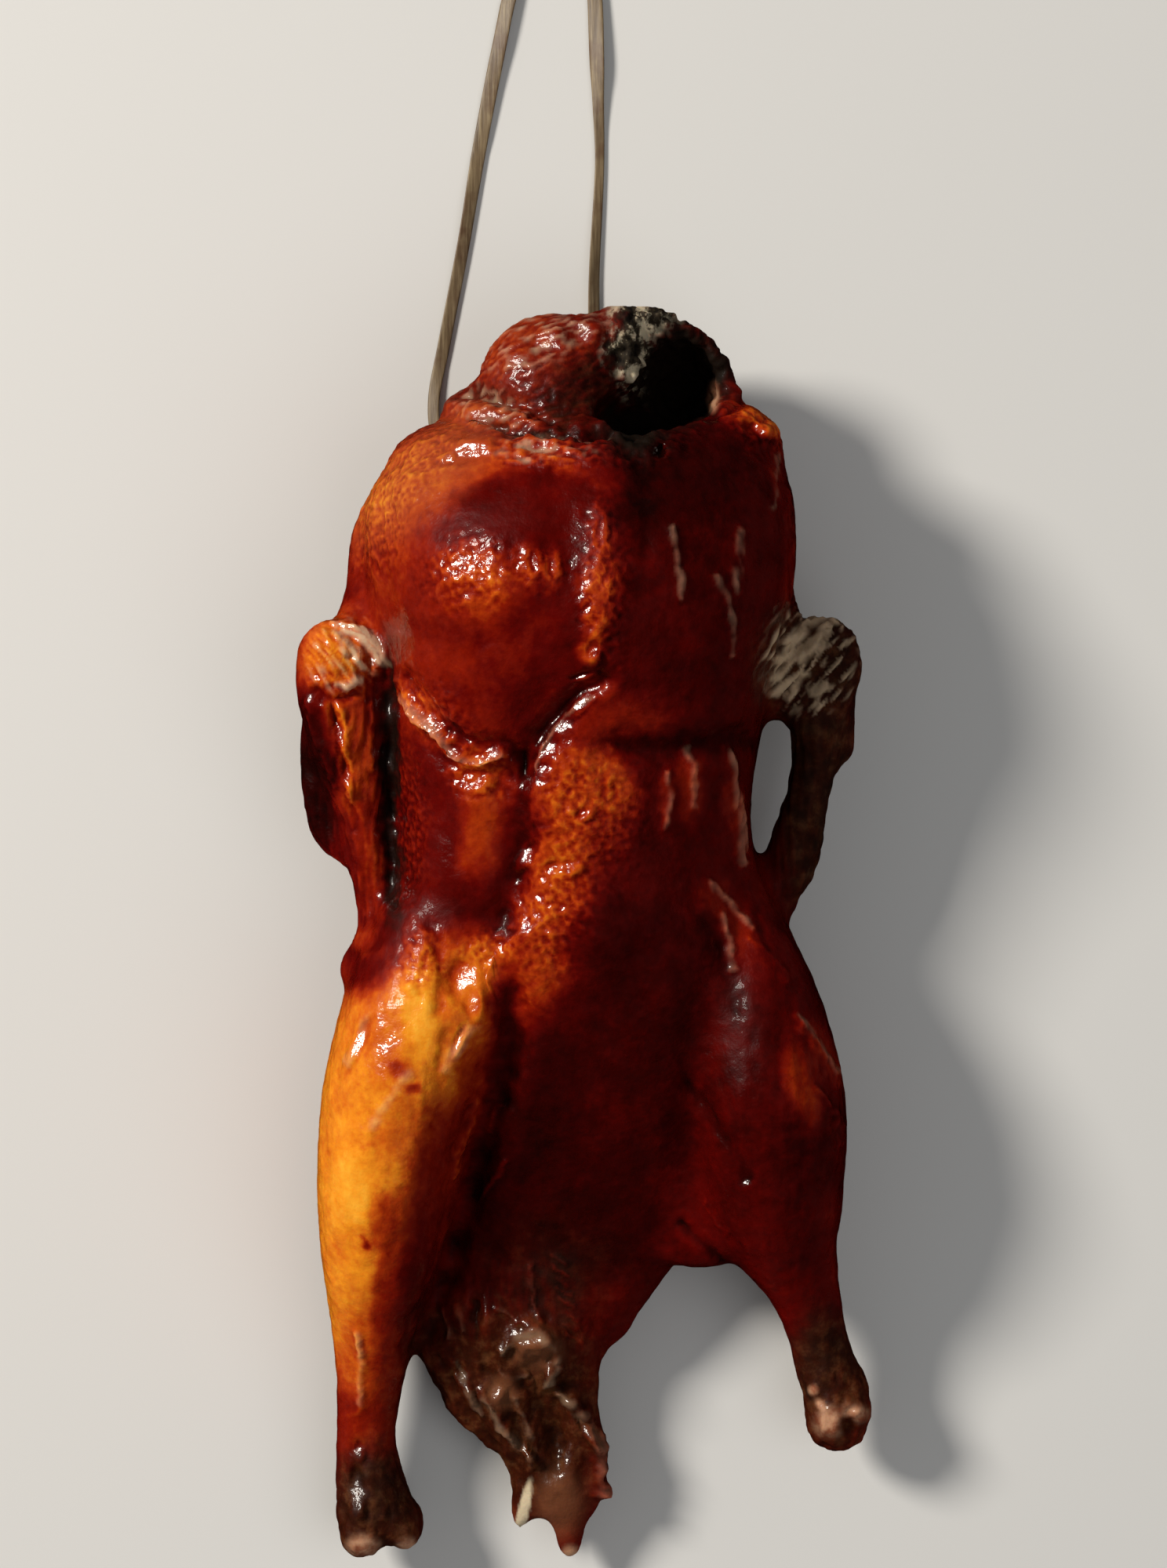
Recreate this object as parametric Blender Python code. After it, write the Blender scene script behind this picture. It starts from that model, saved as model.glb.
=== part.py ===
"""A whole roast duck with its neck, wings, legs and tail, lying on its back, and the cord that it is hung by.

The model stands in metres on the plane z = 0. +Y points from the tail to the neck, +X to the right of someone who
looks down on the breast, and +Z up out of the breast. Lengths in the tables below are in millimetres. The duck's own
tables are drawn about its spine; the finished duck is moved so that its box is centred on the origin.
"""

import math

import bmesh
import bpy
import numpy as np
from mathutils import Vector

MM = 0.001

# Fineness of the solid.
RING_POINTS = 36
RING_STEP = 4.0
VOXEL = 2.2
BLEND_PASSES = 7
FOLD_PASSES = 4
DUCK_TRIANGLES = 9600

# The back is flat where the duck has lain on it.
BACK_FLAT = 3.0

# Torso from the shoulders to the tip of the tail, one row for each section across Y:
# place along Y, middle in X, half width, height of the middle, rise above it, drop below it.
TORSO = [
    (188, 10, 36, 50, 20, 18),
    (182, 6, 54, 53, 34, 30),
    (170, 2, 68, 56, 50, 42),
    (155, -1, 76, 57, 61, 48),
    (136, -1, 77, 57, 67, 55),
    (116, -1, 75, 57, 69, 56),
    (95, -2, 71, 56, 65, 55),
    (67, -3, 66, 54, 56, 53),
    (39, -3, 63, 52, 50, 51),
    (11, 0, 66, 50, 46, 49),
    (-17, 2, 72, 48, 41, 47),
    (-45, 3, 70, 45, 33, 44),
    (-73, 4, 63, 41, 24, 40),
    (-101, 2, 54, 35, 17, 34),
    (-121, -9, 43, 30, 14, 28),
    (-140, -20, 40, 26, 14, 22),
    (-155, -26, 34, 24, 13, 18),
    (-171, -23, 29, 22, 12, 15),
    (-183, -17, 25, 21, 11, 13),
    (-194, -10, 19, 20, 10, 11),
    (-205, -8, 16, 19, 9, 9),
    (-214, -9, 13, 18, 8, 8),
]
TORSO_POWER = 2.2

# Limbs follow a line of stations: X, Y, Z, half width across the line, half height.
LEFT_LEG = [
    (-46, 8, 50, 26, 34),
    (-55, -28, 51, 31, 39),
    (-65, -60, 50, 29, 38),
    (-70, -88, 47, 26, 34),
    (-73, -115, 42, 22, 28),
    (-75, -138, 37, 17, 21),
    (-77, -160, 32, 13, 15),
    (-79, -182, 28, 11, 12),
    (-78, -197, 26, 12.5, 12.5),
    (-76, -211, 25, 14.5, 12.5),
    (-75, -221, 25, 13.5, 10),
]
RIGHT_LEG = [
    (46, 8, 48, 22, 32),
    (56, -28, 49, 29, 37),
    (65, -60, 48, 29, 36),
    (69, -88, 45, 25.5, 31),
    (72.5, -110, 40, 20.5, 24),
    (79, -127, 36, 14, 16),
    (84, -144, 33, 11, 12.5),
    (88, -159, 30, 11.5, 12),
    (92, -169, 28, 12.5, 12.5),
    (92, -179, 27, 12, 11),
]
LEFT_UPPER_ARM = [
    (-58, 160, 42, 15, 17),
    (-69, 140, 44, 15, 17),
    (-73, 120, 47, 13, 16),
    (-78, 101, 52, 14, 16),
]
LEFT_FOREARM = [
    (-87, 101, 62, 15.5, 17),
    (-87, 86, 61, 15.5, 16),
    (-84, 66, 58, 13, 14),
    (-79, 44, 54, 10, 11),
    (-76, 22, 50, 8, 9),
    (-74, 2, 46, 7, 8),
    (-77, -12, 44, 8, 8),
]
RIGHT_UPPER_ARM = [
    (52, 150, 40, 16, 17),
    (60, 128, 42, 14, 17),
    (66, 108, 46, 13, 16),
    (74, 96, 50, 14, 15),
]
RIGHT_FOREARM = [
    (88, 98, 55, 13, 14),
    (85, 82, 54, 11.5, 12),
    (83, 62, 51, 8.5, 10),
    (80, 46, 48, 8, 10),
    (76, 30, 45, 10, 11),
    (73, 17, 43, 9, 10),
]

# The rim round the open neck.
NECK_ARCH = [
    (6, 207, 62, 12, 13),
    (20, 214, 61, 9, 11),
    (31, 213, 59, 7, 9),
    (41, 208, 56, 6, 8),
    (48, 200, 53, 6, 8),
    (50, 189, 50, 6.5, 8),
]

# Rounded masses: X, Y, Z of the middle, then the three half sizes.
MASSES = {
    "neck_bulge": ((-11, 194, 60), (27, 27, 25)),
    "neck_root": ((-18, 186, 50), (34, 14, 22)),
    "neck_shoulder": ((6, 200, 56), (21, 20, 20)),
    "neck_back": ((29, 193, 38), (27, 23, 22)),
    "left_fold": ((-24, 182, 72), (21, 8, 12)),
    "left_shoulder": ((-44, 163, 60), (27, 20, 34)),
    "right_shoulder": ((50, 169, 56), (22, 21, 32)),
    "left_elbow": ((-87, 98, 64), (15.5, 14.5, 17)),
    "left_wing_end": ((-78, -14, 44), (10.5, 11, 10)),
    "left_wing_web": ((-66, 58, 36), (9, 42, 20)),
    "right_elbow": ((86, 99, 57), (13.5, 14, 14)),
    "right_elbow_root": ((73, 89, 52), (14, 14, 14)),
    "right_wing_end": ((71, 11, 42), (7, 8, 8)),
    "belly_lobe": ((6, 18, 60), (34, 60, 38)),
    "left_flank": ((-43, 30, 57), (20, 44, 33)),
    "left_hock_outer": ((-81, -218, 25), (9, 11, 10.5)),
    "left_hock_inner": ((-65, -216, 24), (8, 9.5, 9.5)),
    "right_hock": ((92, -177, 28), (12.5, 13.5, 12.5)),
    "right_skin_web": ((42, -104, 40), (22, 19, 10)),
    "tail_lump": ((-17, -146, 36), (12, 9, 7)),
    "tail_web": ((8, -136, 27), (12, 16, 9)),
    "tail_tip": ((-5, -221, 18), (5.6, 11, 5.6)),
    "tail_bone": ((-23, -206, 21), (4.6, 17, 4.6)),
}

# The loose skin of each wing, behind its forearm: a slab inside the named corners.
LEFT_WING_SKIN = [(-100, 92), (-102, 62), (-100, 40), (-94, 28), (-84, 25), (-72, 40), (-66, 66), (-72, 92)]
RIGHT_WING_SKIN = [(97, 98), (98, 80), (97, 62), (91, 60), (86, 76), (80, 98)]
SKIN_HEIGHT = (43, 51)

# A fold is at its full depth where the skin's normal rises by at least the inverse of this.
FOLD_FACING = 2.5

# Folds of the skin that faces up: half width, depth (a ridge is negative), then the line's points in X and Y.
FOLDS = [
    (5.0, 4.0, [(-64, 84), (-54, 69), (-42, 59), (-29, 55)]),
    (4.5, 4.5, [(5, 91), (-5, 80), (-12, 68), (-17, 57)]),
    (8.0, 5.0, [(-13, 80), (-24, 63), (-27, 39), (-24, 16), (-30, 2), (-38, -16)]),
    (8.0, 6.0, [(-27, -8), (-27, -28), (-35, -51), (-43, -76), (-51, -104)]),
    (5.5, 2.4, [(8, 66), (30, 64), (54, 67)]),
    (6.0, 5.0, [(-68, 150), (-71, 131), (-68, 109), (-66, 84)]),
    (5.0, 5.0, [(-40, 178), (-18, 175), (13, 174)]),
    (8.0, 4.0, [(50, 22), (53, -12), (44, -45), (38, -82)]),
    (7.0, -2.4, [(6, 165), (5, 120), (5, 92)]),
    (5.0, 6.0, [(-19, -158), (-16, -172), (-12, -186)]),
]

# The pit of the open neck: middle and half sizes of two bowls that run into each other.
NECK_PITS = [((35, 195, 66), (15, 17, 36)), ((20, 183, 72), (17, 12, 30))]

# One loop of flat cord that is tied round the back under the wings and the neck. Its two strands run up to the knot.
CORD_DIAMETER = 4.2
CORD_REST = CORD_DIAMETER / 2 + 0.1
LEFT_CORD = [
    (-34, 148, CORD_REST),
    (-46, 165, CORD_REST),
    (-54, 181, CORD_REST),
    (-56, 197, CORD_REST),
    (-52, 219, CORD_REST),
    (-45, 255, CORD_REST),
    (-39, 291, CORD_REST),
    (-32, 327, CORD_REST),
    (-27, 349, CORD_REST),
    (-19, 364, CORD_REST),
    (-12, 373, CORD_REST),
]
RIGHT_CORD = [
    (-2, 160, CORD_REST),
    (0, 178, CORD_REST),
    (2, 196, CORD_REST),
    (3, 214, CORD_REST),
    (3, 243, CORD_REST),
    (5, 283, CORD_REST),
    (4.5, 323, CORD_REST),
    (3, 349, CORD_REST),
    (0, 364, CORD_REST),
    (-5, 373, CORD_REST),
]
CORD_STEP = 2.4 * CORD_DIAMETER
KNOT_MIDDLE = (-8.5, 380.5, 5.2)
KNOT_HALF = (7.0, 5.4, 5.0)


def clear_scene():
    for item in list(bpy.data.objects):
        bpy.data.objects.remove(item)


def smooth_line(points, step):
    """Rows of numbers at an even step along the Catmull-Rom curve through the given rows."""
    rows = np.array(points, float)
    before = 2 * rows[0] - rows[1]
    after = 2 * rows[-1] - rows[-2]
    padded = np.vstack([before, rows, after])
    out = []
    for i in range(len(rows) - 1):
        a, b, c, d = padded[i : i + 4]
        length = np.linalg.norm((c - b)[:3])
        count = max(2, int(round(length / step)))
        for t in np.arange(count) / count:
            out.append(
                0.5 * (2 * b + (c - a) * t + (2 * a - 5 * b + 4 * c - d) * t**2
                       + (3 * b - a - 3 * c + d) * t**3)
            )
    out.append(rows[-1])
    return np.array(out)


def skin_rings(form, rings):
    """Faces between closed rings of points, with both ends filled."""
    rows = [[form.verts.new(Vector(p) * MM) for p in ring] for ring in rings]
    count = len(rows[0])
    for low, high in zip(rows, rows[1:]):
        for i in range(count):
            j = (i + 1) % count
            form.faces.new((low[i], low[j], high[j], high[i]))
    form.faces.new(rows[0])
    form.faces.new(rows[-1])


def add_torso(form):
    """The trunk: rounded sections across Y, higher above their middle than below it."""
    rings = []
    for y, middle, half, height, rise, drop in smooth_line(TORSO, RING_STEP):
        ring = []
        for k in range(RING_POINTS):
            angle = 2 * math.pi * k / RING_POINTS
            side, up = math.cos(angle), math.sin(angle)
            x = math.copysign(abs(side) ** (2 / TORSO_POWER), side) * half
            z = math.copysign(abs(up) ** (2 / TORSO_POWER), up) * (rise if up > 0 else drop)
            ring.append((middle + x, y, height + z))
        rings.append(ring)
    skin_rings(form, rings)


def add_limb(form, stations):
    """A tube along the stations, its sections square to the line."""
    line = smooth_line(stations, RING_STEP)
    centres = line[:, :3]
    tangents = np.gradient(centres, axis=0)
    rings = []
    for centre, tangent, (half_width, half_height) in zip(centres, tangents, line[:, 3:]):
        forward = Vector(tangent).normalized()
        side = forward.cross(Vector((0, 0, 1))).normalized()
        up = side.cross(forward)
        ring = []
        for k in range(RING_POINTS):
            angle = 2 * math.pi * k / RING_POINTS
            offset = side * (half_width * math.cos(angle)) + up * (half_height * math.sin(angle))
            ring.append(Vector(centre) + offset)
        rings.append(ring)
    skin_rings(form, rings)


def add_mass(form, middle, halves):
    made = bmesh.ops.create_icosphere(form, subdivisions=3, radius=1.0)["verts"]
    for vert in made:
        vert.co = Vector([(m + c * h) * MM for m, c, h in zip(middle, vert.co, halves)])


def add_slab(form, corners):
    """A flat piece with a rounded outline between two heights."""
    outline = smooth_line([*corners, corners[0]], RING_STEP)[:-1]
    skin_rings(form, [[(x, y, z) for x, y in outline] for z in SKIN_HEIGHT])


def object_from(form, name):
    bmesh.ops.recalc_face_normals(form, faces=form.faces)
    mesh = bpy.data.meshes.new(name)
    form.to_mesh(mesh)
    form.free()
    made = bpy.data.objects.new(name, mesh)
    bpy.context.scene.collection.objects.link(made)
    return made


def apply_modifiers(item):
    """Leaves on the object the mesh that its modifiers make."""
    bpy.context.view_layer.update()
    evaluated = item.evaluated_get(bpy.context.evaluated_depsgraph_get())
    mesh = bpy.data.meshes.new_from_object(evaluated)
    item.modifiers.clear()
    item.data = mesh


def fuse(item, passes):
    """Joins the overlapping forms into one even skin and rounds off where they meet."""
    skin = item.modifiers.new("skin", "REMESH")
    skin.mode = "VOXEL"
    skin.voxel_size = VOXEL * MM
    soften = item.modifiers.new("soften", "SMOOTH")
    soften.factor = 0.5
    soften.iterations = passes
    apply_modifiers(item)


def vertex_rows(mesh, kind):
    rows = np.zeros(len(mesh.vertices) * 3)
    mesh.vertices.foreach_get(kind, rows)
    return rows.reshape(-1, 3)


def set_places(mesh, places):
    mesh.vertices.foreach_set("co", places.ravel())
    mesh.update()


def distance_to_line(points, line):
    """How far each point is from a line of straight runs, seen from above."""
    best = np.full(len(points), np.inf)
    for a, b in zip(line, line[1:]):
        run = b - a
        share = np.clip(((points - a) @ run) / (run @ run), 0, 1)
        best = np.minimum(best, np.linalg.norm(points - a - share[:, None] * run, axis=1))
    return best


def press_folds(item):
    """Presses the folds into the skin that faces up."""
    places = vertex_rows(item.data, "co") / MM
    facing = np.clip(vertex_rows(item.data, "normal")[:, 2] * FOLD_FACING, 0, 1)
    for width, depth, points in FOLDS:
        away = distance_to_line(places[:, :2], smooth_line(points, RING_STEP))
        places[:, 2] -= depth * np.exp(-((away / width) ** 2)) * facing
    set_places(item.data, places * MM)


def hollow_neck(item):
    """Cuts the bowls of the open neck out of the skin."""
    cutters = []
    for middle, halves in NECK_PITS:
        form = bmesh.new()
        add_mass(form, middle, halves)
        cutter = object_from(form, "neck_pit")
        cut = item.modifiers.new("pit", "BOOLEAN")
        cut.operation = "DIFFERENCE"
        cut.object = cutter
        cutters.append(cutter)
    apply_modifiers(item)
    for cutter in cutters:
        bpy.data.objects.remove(cutter)


def seat(item):
    """Cuts the back flat, stands it on z = 0 and centres the box on the origin."""
    places = vertex_rows(item.data, "co")
    places[:, 2] = np.maximum(places[:, 2], BACK_FLAT * MM) - BACK_FLAT * MM
    places[:, :2] -= (places[:, :2].min(axis=0) + places[:, :2].max(axis=0)) / 2
    set_places(item.data, places)


def thin_out(item):
    fewer = item.modifiers.new("fewer", "DECIMATE")
    fewer.ratio = DUCK_TRIANGLES / (2 * len(item.data.polygons))
    apply_modifiers(item)


def material(name, colour, roughness):
    made = bpy.data.materials.new(name)
    made.use_nodes = True
    shader = made.node_tree.nodes["Principled BSDF"]
    shader.inputs["Base Color"].default_value = (*colour, 1.0)
    shader.inputs["Roughness"].default_value = roughness
    shader.inputs["Metallic"].default_value = 0.0
    return made


def build_duck():
    form = bmesh.new()
    add_torso(form)
    for stations in (LEFT_LEG, RIGHT_LEG, LEFT_UPPER_ARM, LEFT_FOREARM, RIGHT_UPPER_ARM, RIGHT_FOREARM, NECK_ARCH):
        add_limb(form, stations)
    for middle, halves in MASSES.values():
        add_mass(form, middle, halves)
    for corners in (LEFT_WING_SKIN, RIGHT_WING_SKIN):
        add_slab(form, corners)
    duck = object_from(form, "duck")
    fuse(duck, BLEND_PASSES)
    press_folds(duck)
    hollow_neck(duck)
    fuse(duck, FOLD_PASSES)
    thin_out(duck)
    seat(duck)
    duck.data.materials.append(material("roast_skin", (0.42, 0.09, 0.02), 0.22))
    duck.data.shade_smooth()


def build_cord(name, route, finish):
    """A round cord along a smooth curve through the route's points."""
    curve = bpy.data.curves.new(name, "CURVE")
    curve.dimensions = "3D"
    curve.bevel_depth = CORD_DIAMETER / 2 * MM
    curve.bevel_resolution = 2
    curve.use_fill_caps = True
    points = smooth_line(route, CORD_STEP)
    spline = curve.splines.new("POLY")
    spline.points.add(len(points) - 1)
    for point, place in zip(spline.points, points):
        point.co = (*(place * MM), 1.0)
    made = bpy.data.objects.new(name, curve)
    bpy.context.scene.collection.objects.link(made)
    made.data.materials.append(finish)


def build_knot(finish):
    form = bmesh.new()
    add_mass(form, KNOT_MIDDLE, KNOT_HALF)
    knot = object_from(form, "cord_knot")
    knot.data.materials.append(finish)
    knot.data.shade_smooth()


def main():
    clear_scene()
    build_duck()
    fibre = material("cord_fibre", (0.55, 0.42, 0.28), 0.7)
    build_cord("cord_left", LEFT_CORD, fibre)
    build_cord("cord_right", RIGHT_CORD, fibre)
    build_knot(fibre)


main()
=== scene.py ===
"""The looks of a whole glazed roast duck and of the flat fibre cord that it hangs by.

Lengths in the tables are in millimetres. Places on the duck are given as the pixels (across, down) of the
photograph's 1488 by 2000 frame at which the camera sees them.
"""

import itertools
import math

import bmesh
import bpy
import numpy as np
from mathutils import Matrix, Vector


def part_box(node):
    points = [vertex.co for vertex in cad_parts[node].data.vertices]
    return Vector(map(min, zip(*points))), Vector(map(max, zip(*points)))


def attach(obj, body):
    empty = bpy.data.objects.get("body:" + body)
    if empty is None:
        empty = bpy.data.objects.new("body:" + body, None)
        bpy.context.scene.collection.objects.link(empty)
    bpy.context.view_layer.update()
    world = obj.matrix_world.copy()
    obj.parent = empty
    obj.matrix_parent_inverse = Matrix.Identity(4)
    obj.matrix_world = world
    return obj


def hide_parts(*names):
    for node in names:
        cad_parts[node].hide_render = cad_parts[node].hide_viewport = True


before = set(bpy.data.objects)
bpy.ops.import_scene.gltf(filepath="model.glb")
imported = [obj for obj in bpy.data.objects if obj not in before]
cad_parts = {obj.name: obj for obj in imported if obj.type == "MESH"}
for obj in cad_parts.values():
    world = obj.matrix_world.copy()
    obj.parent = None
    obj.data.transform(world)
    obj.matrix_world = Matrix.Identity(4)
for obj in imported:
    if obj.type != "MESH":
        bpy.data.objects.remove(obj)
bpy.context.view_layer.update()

MM = 0.001

# The camera looks straight down, and its scale holds at the height of the duck's middle.
PHOTO_SIZE = (1488, 2000)
MM_PER_PIXEL = 0.28
CAMERA_PLACE = (-0.9, 56.4, 1855.0)
CAMERA_REACH = 1800.0
SENSOR = 36.0

# The skin's mesh: a coarse one smooths the solid's facets away, a finer one carries the relief, and the side
# that points down keeps few of its faces.
WELD_WITHIN = 0.001
COARSE_VOXEL, COARSE_ROUNDS = 1.6, 22
FINE_VOXEL, FINE_ROUNDS = 1.0, 6
SMOOTH_IN, SMOOTH_OUT = 0.62, -0.64
POINTS_DOWN = -0.35
UNDERSIDE_KEPT = 0.3

# The lights. The key light comes from the upper left of the picture.
KEY_PLACE = Vector((-2.3, 1.2, 2.0))
FILL_PLACE = Vector((1.2, -0.6, 2.4))
LIT_MIDDLE = Vector((0, 0, 0.05))
WORLD_STRENGTH = 0.16

# The floor, in metres.
FLOOR_HALF = 6
FLOOR_DROP = 0.0002
FLOOR_COLOUR = (0.72, 0.71, 0.69)

# The parts that catch the light: most change of slope and of height, reach and weight of the middle.
STEEPEST_TILT = 1.0
FACET_STEP = 2.4
GLINT_SPREAD = 1.25
GLINT_CORE = 3.0

# The gradient noise: its directions, and the numbers that mix a cell's place and the seed.
GRADIENTS = np.random.default_rng(5).normal(size=(256, 3))
GRADIENTS /= np.linalg.norm(GRADIENTS, axis=1)[:, None]
MIX_X, MIX_Y, MIX_Z, MIX_SEED = 1619, 31337, 6971, 1013
SEED_SHIFT = 17.3
NOISE_HEIGHT = 1.7


def make_camera():
    data = bpy.data.cameras.new("camera")
    data.sensor_width = SENSOR
    data.lens = SENSOR * CAMERA_REACH / (PHOTO_SIZE[1] * MM_PER_PIXEL)
    data.clip_start = 0.05
    data.clip_end = 20
    camera = bpy.data.objects.new("camera", data)
    camera.location = Vector(CAMERA_PLACE) * MM
    bpy.context.scene.collection.objects.link(camera)
    bpy.context.scene.camera = camera


def pixels(places):
    """The photograph's pixel at which the camera sees each place, given in millimetres."""
    scale = CAMERA_REACH / ((CAMERA_PLACE[2] - places[:, 2]) * MM_PER_PIXEL)
    across = PHOTO_SIZE[0] / 2 + (places[:, 0] - CAMERA_PLACE[0]) * scale
    down = PHOTO_SIZE[1] / 2 - (places[:, 1] - CAMERA_PLACE[1]) * scale
    return np.stack([across, down], axis=1)


def smooth_line(points, step):
    """Rows of numbers at an even step along the Catmull-Rom curve through the given rows."""
    rows = np.array(points, float)
    padded = np.vstack([2 * rows[0] - rows[1], rows, 2 * rows[-1] - rows[-2]])
    out = []
    for i in range(len(rows) - 1):
        a, b, c, d = padded[i : i + 4]
        count = max(2, int(round(np.linalg.norm(c - b) / step)))
        for t in np.arange(count) / count:
            bend = (2 * a - 5 * b + 4 * c - d) * t**2 + (3 * b - a - 3 * c + d) * t**3
            out.append(0.5 * (2 * b + (c - a) * t + bend))
    out.append(rows[-1])
    return np.array(out)


def link(obj):
    bpy.context.scene.collection.objects.link(obj)
    return obj


def applied(obj):
    """The object with its modifiers made real."""
    bpy.context.view_layer.update()
    evaluated = obj.evaluated_get(bpy.context.evaluated_depsgraph_get())
    mesh = bpy.data.meshes.new_from_object(evaluated)
    obj.modifiers.clear()
    obj.data = mesh
    return obj


def object_of(name, form):
    """An object made of a bmesh, which is freed."""
    mesh = bpy.data.meshes.new(name)
    form.to_mesh(mesh)
    form.free()
    return link(bpy.data.objects.new(name, mesh))


def rows_of(mesh, kind):
    rows = np.zeros(len(mesh.vertices) * 3, np.float32)
    mesh.vertices.foreach_get(kind, rows)
    return rows.reshape(-1, 3).astype(float)


def step_smoothly(low, high, value):
    t = np.clip((value - low) / (high - low), 0, 1)
    return t * t * (3 - 2 * t)


def bell(away, width):
    """1 at no distance, falling off over the given width."""
    return np.exp(-((away / width) ** 2))


def gradient_noise(spots, seed):
    """Smooth noise of about -1 to 1 whose lumps are one unit apart."""
    spots = spots + seed * SEED_SHIFT
    cells = np.floor(spots).astype(np.int64)
    within = spots - cells
    ease = within**3 * (within * (within * 6 - 15) + 10)
    total = np.zeros(len(spots))
    for corner in itertools.product((0, 1), repeat=3):
        x, y, z = (cells + corner).T
        mixed = (MIX_X * x + MIX_Y * y + MIX_Z * z + MIX_SEED * seed) & 0x7FFFFFFF
        slopes = GRADIENTS[((mixed >> 8) ^ mixed) & 255]
        weight = np.prod(np.where(corner, ease, 1 - ease), axis=1)
        total += weight * np.einsum("ij,ij->i", slopes, within - corner)
    return total * NOISE_HEIGHT


class Skin:
    """The duck's surface while it is being worked, in millimetres."""

    def __init__(self, obj):
        self.obj = obj
        mesh = obj.data
        self.places = rows_of(mesh, "co") / MM
        edges = np.zeros(len(mesh.edges) * 2, np.int32)
        mesh.edges.foreach_get("vertices", edges)
        self.edges = edges.reshape(-1, 2)
        self.degree = np.maximum(np.bincount(edges, minlength=len(self.places)), 1)[:, None]
        self.refresh()

    def refresh(self):
        """Puts the places in the mesh and reads what follows from them."""
        mesh = self.obj.data
        mesh.vertices.foreach_set("co", (self.places * MM).astype(np.float32).ravel())
        mesh.update()
        self.normals = rows_of(mesh, "normal")
        self.seen = pixels(self.places)

    def around(self, values):
        """Mean of each point's neighbours."""
        total = np.zeros_like(values)
        first, second = self.edges.T
        for k in range(values.shape[1]):
            total[:, k] = np.bincount(first, values[second, k], len(values))
            total[:, k] += np.bincount(second, values[first, k], len(values))
        return total / self.degree

    def smooth(self, rounds):
        """Takes the facets off and keeps the volume."""
        for _ in range(rounds):
            self.places += SMOOTH_IN * (self.around(self.places) - self.places)
            self.places += SMOOTH_OUT * (self.around(self.places) - self.places)
        self.refresh()

    def push(self, amount):
        """Moves the surface outwards by the given millimetres."""
        self.places += self.normals * amount[:, None]
        self.refresh()

    def lumps(self, size, seed, stretch=(1, 1, 1)):
        """Noise with lumps of about the given size, longer along an axis where it is stretched."""
        return gradient_noise(self.places / (np.array(stretch) * size), seed)

    def relief(self, layers):
        """Lumps of several sizes together, each given as size, seed, height and any stretch."""
        return sum(height * self.lumps(size, seed, *stretch) for size, seed, height, *stretch in layers)

    def streaks(self, width, length, turn, seed):
        """Noise in long narrow lumps that lie at the given degrees, counted up from the right."""
        angle = math.radians(turn)
        along = self.places[:, 0] * math.cos(angle) + self.places[:, 1] * math.sin(angle)
        across = self.places[:, 1] * math.cos(angle) - self.places[:, 0] * math.sin(angle)
        spots = np.stack([along / length, across / width, self.places[:, 2] / length], axis=1)
        return gradient_noise(spots, seed)

    def wander(self, large, small):
        """Bends what is drawn on the skin, by up to the given pixels in large and in small waves."""
        for k in range(2):
            self.seen[:, k] += large * self.lumps(13, 31 + k) + small * self.lumps(4.2, 41 + k)

    def from_line(self, points, step=14):
        """Millimetres that each point lies from a line of pixels, negative on one side of it."""
        line = smooth_line(points, step)
        best = np.full(len(self.seen), np.inf)
        side = np.ones(len(self.seen))
        for a, b in zip(line, line[1:]):
            run = b - a
            off = self.seen - a
            share = np.clip((off @ run) / (run @ run), 0, 1)
            away = np.linalg.norm(off - share[:, None] * run, axis=1)
            nearer = away < best
            best[nearer] = away[nearer]
            turn = run[0] * off[:, 1] - run[1] * off[:, 0]
            side[nearer] = np.where(turn[nearer] < 0, -1, 1)
        return best * side * MM_PER_PIXEL

    def square_away(self, middle, halves, turn=0):
        """Each point's squared distance from the middle of an ellipse of pixels, 1 on its edge."""
        off = self.seen - np.array(middle, float)
        angle = math.radians(turn)
        u = (off[:, 0] * math.cos(angle) + off[:, 1] * math.sin(angle)) / halves[0]
        v = (-off[:, 0] * math.sin(angle) + off[:, 1] * math.cos(angle)) / halves[1]
        return u * u + v * v

    def inside(self, middle, halves, soft=0.6, turn=0):
        """1 inside an ellipse of pixels, falling to 0 outside it, with the ellipse turned by degrees."""
        return 1 - step_smoothly(1 - soft, 1 + soft, np.sqrt(self.square_away(middle, halves, turn)))

    def inside_any(self, zones, soft):
        """The strongest of several ellipses, each (middle, halves) or (middle, halves, turn)."""
        return np.max([self.inside(zone[0], zone[1], soft, *zone[2:]) for zone in zones], axis=0)

    def strongest(self, groups):
        """The strongest of several groups, each given as strength, softness and ellipses."""
        return np.max([strength * self.inside_any(zones, soft) for strength, soft, zones in groups], axis=0)

    def whiten(self, values):
        """Marks pale places, pale skin and painted highlights, where they are stronger than what is marked
        there already.
        """
        self.pale = np.maximum(self.pale, values)


def remeshed(obj, voxel):
    even = obj.modifiers.new("even", "REMESH")
    even.mode = "VOXEL"
    even.voxel_size = voxel * MM
    return applied(obj)


def thin_underside(obj):
    """Takes most of the faces off the side that lies on the floor."""
    mesh = obj.data
    down = rows_of(mesh, "normal")[:, 2] < POINTS_DOWN
    group = obj.vertex_groups.new(name="underside")
    group.add([int(i) for i in np.flatnonzero(down)], 1.0, "REPLACE")
    share = down.mean()
    fewer = obj.modifiers.new("fewer", "DECIMATE")
    fewer.vertex_group = "underside"
    fewer.ratio = 1 - share * (1 - UNDERSIDE_KEPT)
    applied(obj)
    obj.vertex_groups.clear()


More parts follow.
